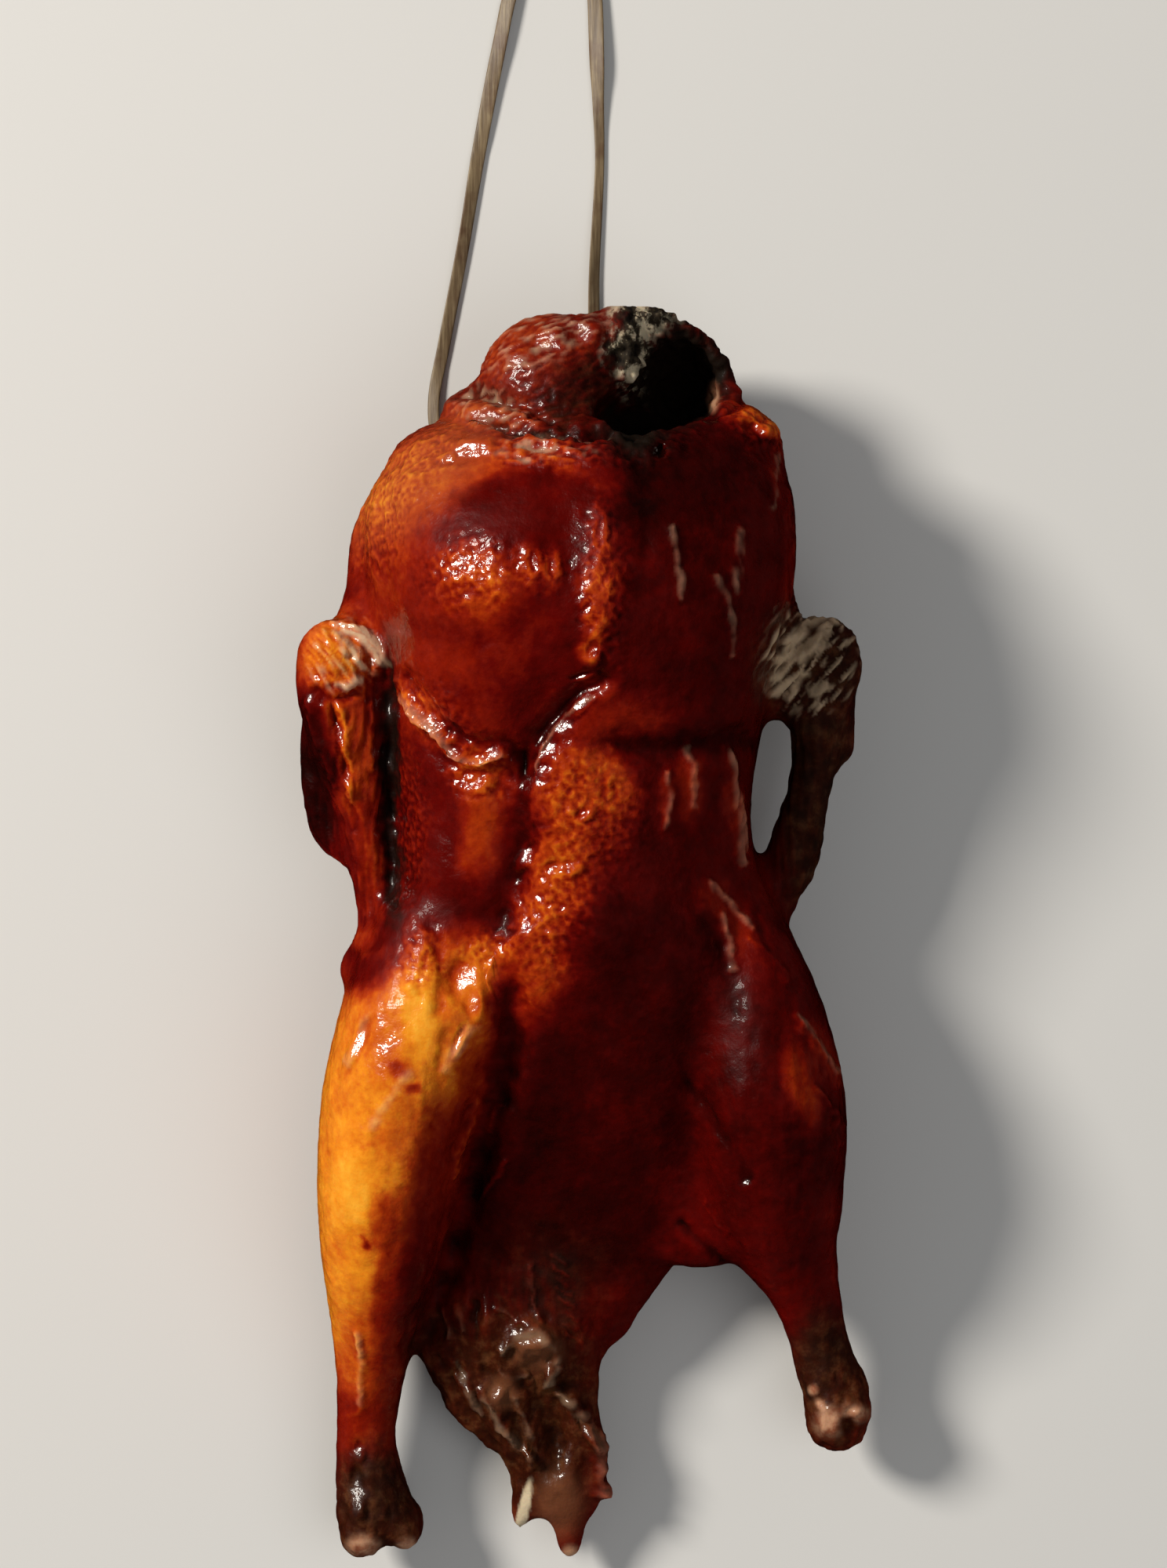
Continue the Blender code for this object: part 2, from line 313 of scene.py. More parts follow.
def copy_skin():
    """The duck's solid with an even fine mesh in place of its facets."""
    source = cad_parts["duck"].data
    mesh = bpy.data.meshes.new("roast_skin")
    mesh.from_pydata([v.co for v in source.vertices], [], [list(p.vertices) for p in source.polygons])
    obj = link(bpy.data.objects.new("roast_skin", mesh))
    weld = obj.modifiers.new("weld", "WELD")
    weld.merge_threshold = WELD_WITHIN * MM
    Skin(remeshed(applied(obj), COARSE_VOXEL)).smooth(COARSE_ROUNDS)
    Skin(remeshed(obj, FINE_VOXEL)).smooth(FINE_ROUNDS)
    thin_underside(obj)
    return Skin(obj)


# The unevenness under everything: size of its lumps, seed and height.
LARGE_UNEVENNESS = [(36, 1, 1.2), (15, 2, 0.5)]
SWELLING_SOFTNESS = 0.8
RELIEF_WANDER = (5, 3)
UPWARD_SHARE = 2.2

# Creases that show from above: half width, depth, line of pixels. The glaze is painted darker in a wider band
# than the crease itself, as gathered glaze and as painted shade, and a low lip runs along each side of it.
DARK_BAND = 1.5
LIP_AWAY, LIP_HEIGHT = 2.4, 0.18
CREASES = [
    (2.2, 2.0, [(524, 862), (550, 900), (578, 930), (606, 946), (640, 948), (668, 966)]),
    (2.6, 2.6, [(768, 866), (740, 886), (708, 916), (684, 950), (668, 990)]),
    (3.6, 1.7, [(668, 960), (662, 1010), (666, 1070), (652, 1130), (640, 1190)]),
    (4.6, 3.2, [(660, 1230), (658, 1290), (646, 1370), (618, 1460), (590, 1560), (556, 1660),
                (530, 1716)]),
    (4.0, 1.7, [(790, 948), (850, 952), (900, 947), (950, 936)]),
    (1.9, 4.8, [(628, 545), (655, 552), (690, 560), (735, 562), (775, 558)]),
    (2.6, 3.4, [(584, 496), (622, 508), (668, 526), (722, 545)]),
    (2.4, 1.2, [(552, 1180), (566, 1230), (562, 1290)]),
    (2.2, 0.8, [(578, 1310), (564, 1350), (558, 1400), (554, 1440)]),
    (1.4, 1.3, [(600, 1410), (588, 1450), (578, 1480)]),
    (1.6, 1.8, [(560, 1730), (590, 1790), (636, 1850)]),
    (1.8, 2.0, [(606, 1660), (612, 1720), (650, 1790), (684, 1870)]),
    (2.8, 3.0, [(716, 1770), (706, 1820), (704, 1872)]),
    (1.6, 1.6, [(664, 1700), (648, 1740), (664, 1770)]),
    (2.4, 1.0, [(905, 1180), (925, 1230), (936, 1290)]),
    (2.2, 0.9, [(968, 1160), (985, 1215), (1012, 1250)]),
    (2.2, 1.4, [(880, 1380), (920, 1440), (950, 1500)]),
    (1.6, 1.4, [(870, 1560), (905, 1590), (925, 1615)]),
    (1.4, 1.3, [(400, 880), (426, 896), (452, 880)]),
    (1.3, 1.4, [(424, 905), (440, 980), (454, 1060)]),
    (2.0, 1.8, [(492, 850), (496, 930), (492, 1060), (500, 1150)]),
    (2.0, 2.2, [(900, 530), (925, 528), (946, 516)]),
    (4.5, 1.4, [(812, 600), (826, 660), (820, 740)]),
]

# Ridges that stand up: half width, height, line of pixels.
RIDGES = [
    (1.9, 3.0, [(508, 868), (524, 896), (544, 920), (566, 944), (590, 962), (620, 968), (648, 962)]),
    (1.8, 1.2, [(574, 980), (592, 996), (620, 1004)]),
    (1.7, 1.8, [(604, 550), (640, 560), (684, 570), (740, 569), (788, 566)]),
    (1.3, 1.5, [(757, 892), (735, 906), (712, 930), (694, 960), (687, 990)]),
    (3.4, 1.3, [(770, 655), (764, 720), (768, 780), (754, 840)]),
    (1.9, 0.8, [(854, 674), (862, 715), (868, 762)]),
    (2.3, 0.9, [(948, 679), (942, 715), (937, 754)]),
    (1.9, 0.8, [(913, 735), (929, 781), (932, 834)]),
    (1.5, 1.3, [(1010, 625), (1014, 700), (1006, 767)]),
    (1.9, 0.9, [(878, 950), (884, 990), (884, 1030)]),
    (1.7, 0.8, [(850, 985), (852, 1020), (850, 1058)]),
    (2.0, 1.0, [(930, 955), (938, 1014), (949, 1100)]),
    (2.4, 0.9, [(604, 1300), (592, 1336), (576, 1362)]),
    (1.5, 1.3, [(607, 1407), (596, 1450), (581, 1500)]),
    (1.4, 1.0, [(644, 1480), (626, 1510), (607, 1540)]),
    (1.4, 1.0, [(634, 1414), (626, 1430), (620, 1444)]),
    (2.0, 0.8, [(540, 1200), (530, 1230), (520, 1262)]),
    (1.8, 1.4, [(395, 898), (408, 950), (426, 1001)]),
    (1.3, 1.3, [(436, 908), (440, 960), (448, 1020)]),
    (1.2, 1.2, [(470, 898), (472, 940), (474, 980)]),
    (1.5, 1.2, [(395, 874), (424, 868), (452, 874)]),
    (2.4, 2.2, [(714, 1778), (744, 1806), (762, 1856), (768, 1900)]),
    (2.2, 1.8, [(614, 1774), (650, 1820), (680, 1870)]),
    (1.9, 0.8, [(907, 1127), (930, 1150), (958, 1182)]),
    (1.8, 0.8, [(920, 1165), (930, 1200), (936, 1235)]),
    (1.8, 0.7, [(958, 1199), (985, 1222), (1004, 1247)]),
    (1.8, 1.3, [(1013, 1300), (1040, 1335), (1070, 1380)]),
    (1.4, 1.1, [(1040, 1390), (1064, 1424), (1070, 1460)]),
    (1.3, 1.0, [(903, 1531), (916, 1550), (928, 1570)]),
    (1.6, 1.3, [(871, 418), (911, 433), (937, 456), (943, 500)]),
    (1.6, 1.0, [(457, 1700), (460, 1750), (456, 1800)]),
    (1.8, 1.3, [(1008, 600), (998, 575), (975, 545)]),
]

# Ridges painted paler as pale skin and painted highlights, on the elbows, about the tail and down the breast,
# belly and legs.
ELBOW_RIDGES = [
    (1.3, 1.3, [(430, 796), (450, 798), (466, 805)]),
    (1.3, 1.5, [(438, 806), (462, 816), (484, 846)]),
    (1.2, 1.4, [(452, 800), (476, 818), (492, 848)]),
    (1.3, 1.3, [(434, 812), (450, 830), (462, 852)]),
    (1.3, 1.2, [(430, 874), (446, 872), (458, 868)]),
    (1.5, 1.5, [(984, 888), (1002, 868)]),
    (1.6, 1.6, [(988, 862), (1008, 842), (1024, 828)]),
    (1.6, 1.6, [(992, 840), (1012, 820), (1030, 806)]),
    (1.5, 1.5, [(1000, 818), (1022, 802), (1038, 788)]),
    (1.6, 1.6, [(1024, 846), (1040, 824), (1052, 800)]),
    (1.4, 1.3, [(1012, 882), (1026, 862)]),
    (1.3, 1.2, [(1036, 796), (1054, 790), (1068, 796)]),
]
TAIL_RIDGES = [
    (1.2, 1.4, [(566, 1674), (574, 1704)]),
    (1.2, 1.3, [(586, 1668), (592, 1700)]),
    (1.6, 1.5, [(584, 1736), (594, 1770), (612, 1800)]),
    (1.5, 1.8, [(640, 1724), (658, 1706), (682, 1700), (702, 1716), (710, 1738), (702, 1766)]),
    (1.3, 1.2, [(636, 1742), (650, 1756), (668, 1750)]),
    (2.0, 1.8, [(616, 1780), (642, 1822), (676, 1864)]),
    (1.4, 1.4, [(656, 1786), (672, 1826), (682, 1862)]),
    (2.4, 2.2, [(716, 1782), (746, 1812), (764, 1858), (766, 1900)]),
    (1.3, 1.2, [(640, 1668), (656, 1690)]),
    (1.3, 1.0, [(676, 1620), (680, 1660), (690, 1690)]),
]
# The soft ridges' paleness is mostly painted highlight.
SOFT_RIDGES = [
    (1.5, 0.45, [(854, 674), (862, 715), (868, 762)]),
    (1.8, 0.45, [(948, 679), (942, 715), (937, 754)]),
    (1.5, 0.40, [(913, 735), (929, 781), (932, 834)]),
    (1.3, 0.35, [(992, 580), (992, 630), (984, 650)]),
    (1.6, 0.50, [(880, 955), (884, 990), (884, 1025)]),
    (1.3, 0.40, [(850, 985), (852, 1020), (850, 1058)]),
    (1.5, 0.50, [(930, 960), (938, 1014), (949, 1100)]),
    (1.5, 0.50, [(907, 1127), (930, 1150), (958, 1182)]),
    (1.4, 0.45, [(920, 1165), (930, 1200), (936, 1235)]),
    (1.4, 0.45, [(1018, 1298), (1040, 1325), (1064, 1368)]),
    (1.2, 0.60, [(515, 885), (540, 910), (560, 932), (582, 958), (612, 968), (640, 962)]),
    (1.0, 0.55, [(755, 893), (735, 906), (712, 927), (695, 958), (688, 980)]),
    (1.8, 0.55, [(595, 1308), (584, 1336), (569, 1362)]),
    (1.7, 0.50, [(471, 1300), (458, 1330), (444, 1358)]),
    (2.2, 0.55, [(519, 1370), (498, 1402), (476, 1436)]),
    (1.3, 0.45, [(459, 1702), (461, 1750), (457, 1790)]),
    (1.2, 0.50, [(620, 548), (655, 556), (700, 563), (745, 563), (790, 560)]),
]
LADDER_TOP, LADDER_FOOT, LADDER_RUNGS = (712, 1606), (730, 1706), 8
LADDER_RUNG = (9, 5)
LADDER_WIDTH, LADDER_HEIGHT = 0.9, 0.8
ELBOW_PALENESS, TAIL_PALENESS, SOFT_PALENESS = 2.6, 0.45, 2.6


def ladder():
    """The short wrinkles one below the other that lead down to the tail."""
    rungs = []
    for share in np.linspace(0, 1, LADDER_RUNGS):
        x, y = (top + share * (foot - top) for top, foot in zip(LADDER_TOP, LADDER_FOOT))
        ends = [(x - LADDER_RUNG[0], y - LADDER_RUNG[1]), (x + LADDER_RUNG[0], y + LADDER_RUNG[1])]
        rungs.append((LADDER_WIDTH, LADDER_HEIGHT, ends))
    return rungs


# Low swellings: middle and half sizes in pixels, height and, if it is turned, its degrees.
SWELLINGS = [
    (612, 722, 72, 56, 3.4, -16),
    (598, 575, 30, 16, 1.4, -30),
    (745, 1015, 62, 62, 1.9),
    (722, 1150, 44, 100, 1.9, 14),
    (612, 1040, 34, 60, 1.3, 10),
    (624, 1218, 42, 30, 1.8, -20),
    (680, 1735, 40, 36, 3.0, -15),
    (620, 1700, 24, 30, 1.5, 20),
    (718, 1918, 30, 40, 2.2),
    (1000, 1400, 36, 60, 1.5, -10),
    (930, 1440, 50, 60, 1.2),
    (800, 1420, 60, 60, 0.8),
    (652, 534, 64, 13, 3.0, 12),
    (604, 554, 34, 15, 2.4, -10),
    (700, 578, 70, 16, 1.8, 2),
    (768, 418, 44, 30, 3.6, -10),
    (835, 398, 32, 14, 2.4),
    (800, 440, 16, 44, 1.8, -14),
    (962, 540, 38, 18, 1.6, 18),
    (634, 1262, 42, 62, 6.0, 8),
    (634, 1778, 15, 19, 1.8),
    (462, 1200, 20, 26, 1.6),
    (1058, 1812, 20, 22, 1.8),
    (1092, 1800, 20, 15, 2.0),
    (1081, 1818, 9, 12, -2.6),
    (1038, 1774, 9, 9, 1.0),
    (462, 1965, 22, 16, 1.8),
    (516, 1966, 16, 16, 1.8),
    (680, 715, 12, 24, 1.0),
    (704, 725, 12, 22, 1.0),
]

# Where the skin is crowded with small hard bumps. A zone is its middle and half sizes in pixels and its turn
# in degrees.
BUMPY = [
    ((600, 730), (62, 46), -10),
    ((768, 745), (30, 110)),
    ((690, 725), (36, 28)),
    ((565, 925), (30, 66), -42),
    ((610, 985), (44, 36)),
    ((745, 1040), (66, 90)),
    ((710, 1150), (46, 110), 14),
    ((520, 1050), (24, 100)),
    ((540, 1225), (30, 40)),
    ((626, 1210), (46, 24), -20),
    ((525, 596), (70, 34), -40),
    ((700, 575), (80, 22)),
    ((490, 660), (30, 80), 16),
    ((970, 545), (40, 30), 20),
]
BUMPY_SOFTNESS = 0.6
NECK_SKIN = [((695, 470), (115, 86), -10)]
LIT_NECK = [((694, 430), (84, 32), -22), ((626, 520), (50, 26), 14)]
UNDER_FOLD = [((690, 574), (62, 16), 4)]
COLLAR = [((650, 535), (78, 24), 8), ((700, 575), (70, 20))]
ARMS = [((455, 1000), (50, 190)), ((1030, 1000), (46, 190))]
ELBOWS = [((430, 835), (60, 55)), ((1040, 845), (64, 64))]
LEGS = [((500, 1440), (110, 240)), ((1010, 1460), (90, 200))]
TAIL = [((650, 1760), (120, 150), -20)]
LEG_ENDS = [((478, 1925), (62, 84)), ((1070, 1800), (56, 66))]
CRUST = [((836, 408), (50, 30)), ((806, 460), (28, 60), -8)]
THROAT = [((876, 480), (66, 74)), ((820, 550), (66, 46), -20)]


def bell_ridge(skin, ridge, broken):
    """The rise of one ridge, given as its half width, height and line of pixels."""
    width, height, line = ridge
    return height * broken * bell(skin.from_line(line), width)


def sculpt(skin):
    """Works the folds, ridges and swellings of the roast skin into its surface."""
    up = np.clip(skin.normals[:, 2] * UPWARD_SHARE, 0, 1)
    amount = skin.relief(LARGE_UNEVENNESS)
    for x, y, wide, high, height, *turn in SWELLINGS:
        amount += height * skin.inside((x, y), (wide, high), SWELLING_SOFTNESS, *turn)
    skin.wander(*RELIEF_WANDER)
    uneven = 0.75 + 0.5 * skin.lumps(9, 3)
    skin.valley = np.zeros(len(amount))
    skin.crest = np.zeros(len(amount))
    skin.pale = np.zeros(len(amount))
    for width, depth, line in CREASES:
        away = np.abs(skin.from_line(line))
        cut = depth * uneven * bell(away, width)
        # The valley records where the glaze is painted darker: gathered glaze and painted shade.
        skin.valley = np.maximum(skin.valley, depth * uneven * bell(away, DARK_BAND * width))
        amount += LIP_HEIGHT * depth * bell(away - LIP_AWAY * width, width) - cut
    broken = 0.85 + 0.5 * skin.lumps(6, 4) + 0.35 * skin.lumps(2.8, 24)
    for ridge in RIDGES:
        rise = bell_ridge(skin, ridge, broken)
        skin.crest = np.maximum(skin.crest, rise)
        amount += rise
    # Pale skin and painted highlights on the pale ridges.
    pale_ridges = [(ELBOW_PALENESS, ELBOW_RIDGES), (TAIL_PALENESS, TAIL_RIDGES + ladder()),
                   (SOFT_PALENESS, SOFT_RIDGES)]
    for paleness, ridges in pale_ridges:
        for ridge in ridges:
            rise = bell_ridge(skin, ridge, broken)
            skin.whiten(paleness * rise)
            amount += rise
    skin.push(amount * up)


# Small parts of the skin that catch the light: middle and half sizes in pixels and, if turned, the degrees.
GLINTS = [
    # Neck and shoulders
    (742, 424, 22, 13, -10),
    (700, 434, 24, 12, -20),
    (662, 458, 14, 9, -30),
    (600, 575, 26, 13, -14),
    (570, 586, 9, 6, -30),
    (616, 532, 24, 8, 10),
    (690, 570, 22, 7, 6),
    (841, 574, 7, 7),
    (968, 548, 16, 7, 20),
    # Breast
    (602, 722, 24, 13, -14),
    (683, 716, 6, 13),
    (706, 722, 6, 12),
    (768, 678, 6, 15, 8),
    (760, 722, 7, 7),
    (773, 742, 6, 7),
    (752, 776, 6, 9, 30),
    (757, 832, 7, 11),
    (742, 863, 12, 4, -10),
    (740, 900, 17, 6, 135),
    (718, 926, 16, 7, 128),
    (700, 955, 14, 6, 120),
    (690, 980, 5, 6),
    (528, 898, 18, 7, 55),
    (548, 920, 20, 11, 42),
    (580, 960, 14, 8, 20),
    (604, 970, 14, 8, -10),
    (626, 962, 12, 7, -20),
    (604, 998, 20, 11),
    # Belly
    (672, 1092, 17, 7, 125),
    (718, 1108, 20, 8),
    (745, 1040, 8, 5),
    (642, 1192, 12, 5, -14),
    (532, 1218, 22, 4, 108),
    # Left leg
    (594, 1254, 19, 25, -20),
    (605, 1282, 10, 15, -15),
    (586, 1328, 16, 5, 112),
    (457, 1330, 24, 7, 115),
    (458, 1852, 10, 5, 90),
    (455, 1908, 28, 9, 90),
    # Wings
    (436, 800, 17, 7, 10),
    (458, 816, 20, 9, 40),
    (474, 840, 19, 8, 65),
    (452, 838, 9, 4),
    (432, 935, 24, 4, 75),
    (442, 990, 20, 4, 80),
    (466, 1200, 16, 12),
    (1034, 812, 26, 6, 140),
    (1014, 836, 26, 6, 145),
    (1000, 864, 18, 6, 145),
    (1044, 838, 18, 6, 140),
    # Right leg and tail
    (1088, 1800, 8, 5),
    (1047, 1793, 4, 7, -35),
    (684, 1710, 20, 8),
    (700, 1744, 16, 5, 90),
    (632, 1776, 9, 9),
    (592, 1762, 22, 5, 70),
    (668, 1848, 20, 5, 60),
    (748, 1826, 24, 5, 55),
]


def catch_light(skin):
    """Flattens the parts that have the photograph's highlights and tilts them towards the key light."""
    camera = Vector(CAMERA_PLACE) * MM
    front = skin.normals[:, 2] > 0.1
    amount = np.zeros(len(skin.places))
    total = np.zeros(len(skin.places))
    skin.sleek = np.zeros(len(skin.places))
    for x, y, wide, high, *turn in GLINTS:
        away = skin.square_away((x, y), (GLINT_SPREAD * wide, GLINT_SPREAD * high), *turn)
        share = np.exp(-(away**2)) * front
        core = np.exp(-GLINT_CORE * away) * front
        normal = (skin.normals * core[:, None]).sum(axis=0)
        here = (skin.places * core[:, None]).sum(axis=0) / core.sum()
        place = Vector(here) * MM
        halfway = (KEY_PLACE - place).normalized() + (camera - place).normalized()
        slope = -normal[:2] / normal[2]
        change = -np.array([halfway.x, halfway.y]) / halfway.z - slope
        slope += change * min(1, STEEPEST_TILT / np.linalg.norm(change))
        rise = here[2] + (skin.places[:, :2] - here[:2]) @ slope - skin.places[:, 2]
        amount += FACET_STEP * np.tanh(rise / FACET_STEP) * share
        total += share
        skin.sleek = np.maximum(skin.sleek, share)
    skin.places[:, 2] += amount / np.maximum(total, 1)
    skin.refresh()


# Fine relief: size of its lumps, seed, height and any stretch along the axes.
HARD_BUMPS = [(3.6, 5, 0.55), (2.3, 6, 0.28)]
HARD_EVERYWHERE, HARD_WHERE_BUMPY = 0.22, 0.9
FINE_UNEVENNESS = [(6, 7, 0.16)]
SOFT_EDGE = 0.4
REGION_RELIEF = [
    (COLLAR, [(3.0, 10, 1.1, (1.6, 0.8, 1))]),
    (ARMS, [(2.6, 11, 0.75, (0.9, 5.0, 1))]),
    (TAIL, [(8, 13, 1.3, (0.8, 1.3, 1)), (3.0, 14, 0.5, (0.8, 1.6, 1))]),
    (LEG_ENDS, [(3.2, 15, 0.7, (1, 2.2, 1)), (2.2, 16, 0.25)]),
    (LEGS, [(4.5, 21, 0.3, (0.8, 4.0, 1))]),
]
THROAT_RELIEF = [(6, 19, 1.6), (2.8, 20, 0.8)]
CRUST_RELIEF = [(2.4, 18, 0.7)]
CRUST_CELLS, CRUST_HEIGHT = (5, 17, (0.8, 1.2, 1)), 3.6
SLEEK_SHARE = 0.55
CLEAR_OF_FLOOR = (1.0, 9.0)

# Wrinkles in one direction: width, length, turn and seed, then what is on them.
NECK_WRINKLES = (1.9, 4.2, 24, 8)
NECK_WRINKLE_HEIGHT, NECK_LUMPS = 0.6, [(2.4, 9, 0.35)]
NECK_PALENESS, FOLD_PALENESS = 2.8, 4
ELBOW_WRINKLES = [
    ([((1032, 842), (56, 66))], (1.7, 8, 52, 12), 1.9, 7),
    ([((440, 836), (50, 50))], (1.8, 7, -50, 22), 0.9, 2.4),
]


def wrinkle_neck(skin):
    """The neck's fine slanting wrinkles, which are paler on its lit side."""
    wrinkles = skin.streaks(*NECK_WRINKLES)
    skin.whiten(skin.inside_any(LIT_NECK, 0.6) * (wrinkles * NECK_PALENESS + 0.5))
    skin.whiten(skin.inside_any(UNDER_FOLD, 0.6) * skin.lumps(3.4, 23) * FOLD_PALENESS)
    return skin.inside_any(NECK_SKIN, 0.35) * (wrinkles * NECK_WRINKLE_HEIGHT + skin.relief(NECK_LUMPS))


def wrinkle_elbows(skin):
    """The slanting wrinkles of the elbows, painted pale as pale skin and painted highlights."""
    amount = np.zeros(len(skin.places))
    for zone, streaks, height, paleness in ELBOW_WRINKLES:
        wrinkles = skin.inside_any(zone, SOFT_EDGE) * skin.streaks(*streaks)
        amount += wrinkles * height
        skin.whiten(wrinkles * paleness)
    return amount


def roughen(skin):
    """Wrinkles, bumps and uneven swellings all over, stronger where the photograph shows them."""
    hard = skin.relief(HARD_BUMPS)
    amount = skin.relief(FINE_UNEVENNESS) + hard * HARD_EVERYWHERE
    amount += skin.inside_any(BUMPY, BUMPY_SOFTNESS) * hard * HARD_WHERE_BUMPY
    amount += wrinkle_neck(skin) + wrinkle_elbows(skin)
    for zones, layers in REGION_RELIEF:
        amount += skin.inside_any(zones, SOFT_EDGE) * skin.relief(layers)
    amount += skin.inside_any(THROAT, 0.3) * skin.relief(THROAT_RELIEF)
    cells = CRUST_HEIGHT * (np.abs(skin.lumps(*CRUST_CELLS)) - 0.5)
    amount += skin.inside_any(CRUST, SOFT_EDGE) * (cells + skin.relief(CRUST_RELIEF))
    clear = step_smoothly(*CLEAR_OF_FLOOR, skin.places[:, 2])
    skin.push(amount * (1 - SLEEK_SHARE * skin.sleek) * clear)


def keep_in_box(skin):
    """Holds the surface inside the solid's own box."""
    low, high = (np.array(corner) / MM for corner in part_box("duck"))
    skin.places = np.clip(skin.places, low, high)
    skin.refresh()


# The glaze from 0, nearly black, to 1, gold. Each patch is laid over those before it: how light it is, its
# middle and half sizes in pixels and, unless 0.6 and 0, the softness of its edge and its turn in degrees.
PATCHES = [
    # Breast and shoulders
    # Darker red over the right of the breast: dark red glaze and painted shade.
    (0.20, 890, 760, 150, 300, 0.5),
    (0.30, 600, 860, 110, 90),
    (0.44, 500, 700, 50, 130, 0.6, 16),
    (0.59, 540, 600, 118, 50, 0.5, -40),
    (0.66, 500, 618, 58, 22, 0.6, -48),
    (0.52, 640, 572, 80, 28, 0.5, -14),
    (0.50, 730, 582, 56, 24, 0.5, 6),
    (0.50, 776, 606, 20, 34, 0.5),
    (0.24, 668, 668, 84, 48, 0.5, -8),
    (0.48, 598, 748, 56, 50),
    (0.56, 600, 724, 40, 24),
    (0.46, 672, 722, 16, 26),
    (0.46, 704, 728, 16, 24),
    (0.44, 770, 680, 16, 28),
    (0.48, 766, 742, 28, 34),
    (0.46, 762, 790, 18, 24),
    (0.50, 755, 832, 13, 18),
    (0.40, 545, 870, 44, 60, 0.7, 20),
    (0.46, 758, 878, 26, 16),
    (0.36, 800, 920, 60, 34),
    (0.54, 545, 918, 18, 50, 0.6, -36),
    (0.54, 604, 985, 38, 34),
    (0.50, 612, 1048, 30, 64, 0.6, 8),
    (0.28, 540, 1050, 40, 90),
    # Belly
    (0.55, 748, 1016, 66, 66, 0.35),
    (0.48, 745, 1100, 60, 50),
    (0.57, 712, 1130, 40, 84, 0.5, 14),
    (0.52, 690, 1240, 32, 70, 0.6, 18),
    # Painted shade in the furrow down the middle of the belly.
    (0.22, 668, 1010, 9, 80, 0.7, 4),
    # Darker red between the legs and on the belly: dark glaze and painted shade.
    (0.10, 700, 1420, 60, 130, 0.6, 20),
    (0.13, 830, 1260, 90, 190),
    (0.09, 730, 1550, 120, 90, 0.7),
    (0.42, 880, 995, 17, 44, 0.7),
    (0.38, 848, 1018, 10, 42, 0.7),
    (0.38, 934, 1010, 10, 60, 0.7, -8),
    # Painted shade in the step under the breast.
    (0.14, 880, 948, 80, 12, 0.7),
    # Right side
    (0.58, 964, 534, 42, 20, 0.6, 18),
    (0.34, 992, 598, 11, 44),
    (0.28, 1008, 700, 10, 76),
    (0.38, 930, 1170, 26, 60, 0.6, -30),
    # Darker red over the right thigh: dark red glaze and painted shade.
    (0.17, 980, 1420, 100, 180),
    (0.46, 1022, 1384, 18, 56, 0.7, -12),
    (0.34, 1046, 1340, 22, 50, 0.7, -30),
    # Left thigh and leg
    (0.58, 560, 1235, 64, 50, 0.5),
    (0.64, 622, 1222, 38, 30, 0.6, -20),
    (0.70, 590, 1330, 30, 92, 0.5, 10),
    (0.73, 505, 1330, 100, 100, 0.35),
    (0.78, 444, 1460, 90, 140, 0.35),
    (0.78, 430, 1600, 62, 150, 0.45, -3),
    (0.92, 448, 1520, 26, 42),
    (0.90, 535, 1300, 24, 40, 0.7),
    (0.68, 480, 1330, 22, 44, 0.8),
    (0.66, 516, 1440, 30, 36, 0.8, 20),
    (0.44, 548, 1462, 20, 30, 0.7),
    (0.48, 505, 1362, 15, 9, 0.7),
    (0.44, 531, 1392, 8, 8, 0.7),
    (0.50, 500, 1560, 22, 34, 0.7),
    (0.44, 494, 1620, 12, 50, 0.7, 6),
    (0.36, 471, 1588, 6, 9),
    (0.62, 462, 1740, 24, 70, 0.7),
    (0.42, 492, 1740, 16, 110, 0.7, 4),
    (0.40, 470, 1830, 40, 40, 0.7),
    (0.54, 608, 1368, 20, 62, 0.8, 8),
    (0.26, 634, 1352, 17, 76, 0.7, 8),
    (0.38, 582, 1490, 24, 110, 0.7, 12),
    (0.42, 600, 1440, 8, 50, 0.7, 10),
    # Wings
    (0.68, 424, 838, 50, 56, 0.5),
    (0.84, 428, 854, 20, 20, 0.7),
    (0.30, 424, 896, 20, 18),
    (0.50, 445, 960, 34, 100, 0.5, -10),
    (0.62, 432, 940, 12, 50, 0.7, -10),
    (0.40, 476, 1090, 22, 90, 0.5),
    (0.05, 396, 1000, 34, 104, 0.4),
    # Painted shade in the gap between the left wing and the body.
    (0.10, 497, 1010, 11, 160),
    (0.26, 468, 1235, 28, 34),
    (0.44, 462, 1196, 16, 18, 0.7),
    # Neck
    (0.38, 695, 470, 112, 80, 0.4, -10),
    # Lighter on the neck's lit upper left and darker on its lower right: painted light and painted shade.
    (0.50, 650, 430, 70, 36, 0.7, -35),
    (0.12, 745, 502, 60, 38, 0.7, -20),
    (0.52, 640, 530, 60, 18, 0.6, 10),
    # Painted shade in the crease under the neck.
    (0.20, 712, 553, 64, 7, 0.6, 2),
    # Painted shade under the throat.
    (0.12, 850, 566, 96, 40, 0.7),
    (0.06, 856, 612, 76, 62, 0.8),
    (0.20, 905, 440, 40, 40, 0.7, 40),
]


# What the glaze starts from, before the patches, and its plain colour on the underside.
TONE, TONE_BLOTCHES = 0.26, [(24, 51, 0.05)]
UNDER_TONE, UNDER_BLOTCHES = 0.3, [(22, 52, 0.12), (8, 53, 0.06)]
UNDER_FROM = (-0.6, -0.1)
PATCH_WANDER, BLACK_WANDER = (9, 5), (5, 4)
# Painted light and shade from the relief: the glaze is lighter on peaks and crests and darker in hollows and
# creases, partly as thinner and gathered glaze.
LIGHTER_ON_PEAKS, MOST_LIGHTER = 0.5, 0.12
LIGHTER_ON_CREST, DARKER_IN_VALLEY = 0.030, 0.040
